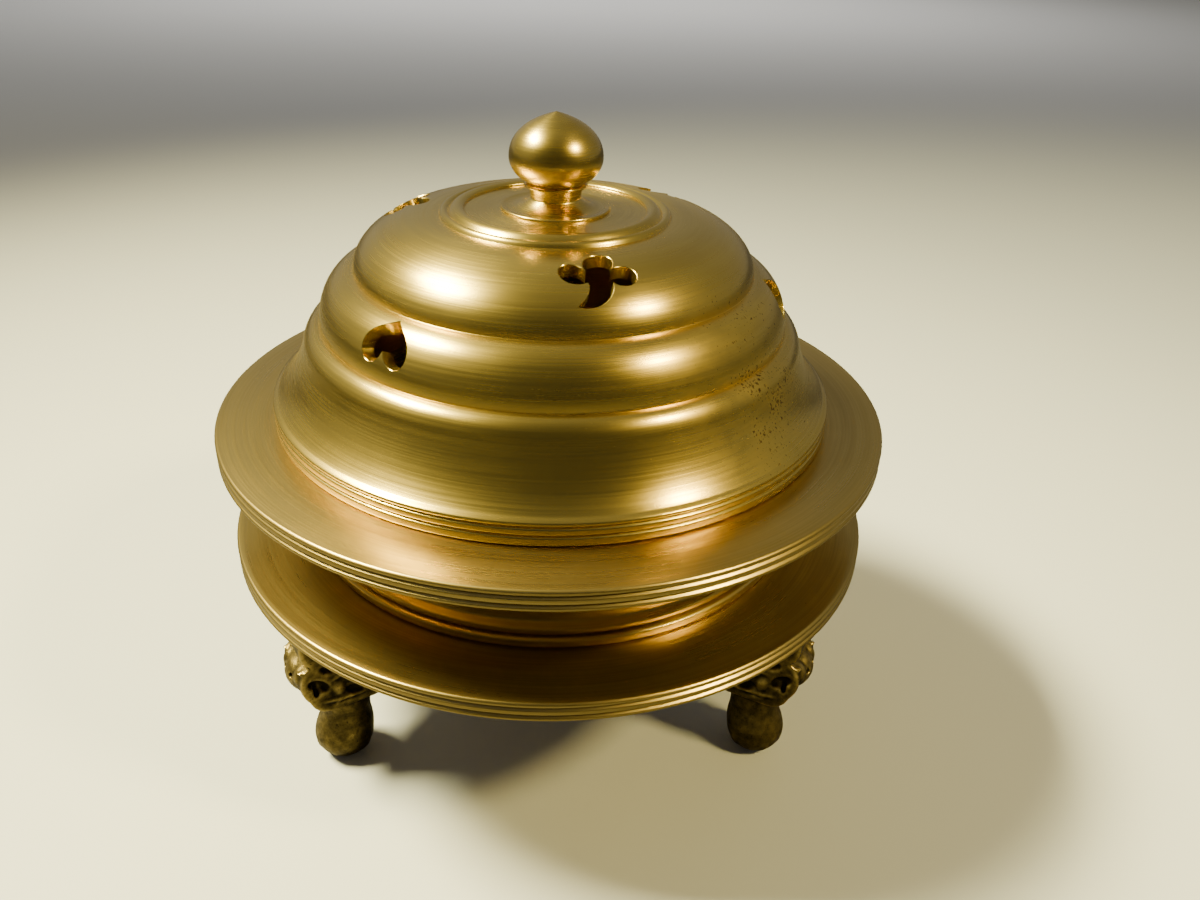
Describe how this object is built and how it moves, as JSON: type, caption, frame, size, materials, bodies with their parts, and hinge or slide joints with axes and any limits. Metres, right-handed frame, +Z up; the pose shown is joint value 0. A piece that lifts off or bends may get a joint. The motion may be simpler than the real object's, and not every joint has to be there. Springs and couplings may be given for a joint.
{
  "type": "incense burner",
  "caption": "Round brass incense burner: a flanged basin on cast legs, a flanged ring standing in it, and a tiered, pierced lid with a jewel-shaped knob.",
  "frame": {"origin": "on the table, under the middle of the basin", "axes": "+Z up along the axis of the basin, ring and lid; +Y towards the rear leg"},
  "size_m": [0.1204, 0.1204, 0.1175],
  "materials": {
    "turned_brass": "satin, lathe-turned, lightly speckled",
    "polished_brass": "polished",
    "cast_brass": "cast, dark in the recesses, worn bright on the high spots",
    "dull_brass": "dull"
  },
  "bodies": {
    "base": {"basin": "turned_brass", "leg_rear": "cast_brass", "leg_front_left": "cast_brass", "leg_front_right": "cast_brass", "leg_rear_screw": "dull_brass", "leg_front_left_screw": "dull_brass", "leg_front_right_screw": "dull_brass"},
    "ring": {"middle_ring": "turned_brass"},
    "lid": {"lid": "turned_brass", "lid_knob": "polished_brass", "knob_washer": "dull_brass", "knob_nut": "dull_brass"}
  },
  "joints": [
    {"name": "ring_lift", "type": "slide", "parent": "base", "child": "ring", "axis": [0, 0, 1], "range_m": [0, 0.04]},
    {"name": "lid_lift", "type": "slide", "parent": "ring", "child": "lid", "axis": [0, 0, 1], "range_m": [0, 0.06]}
  ]
}
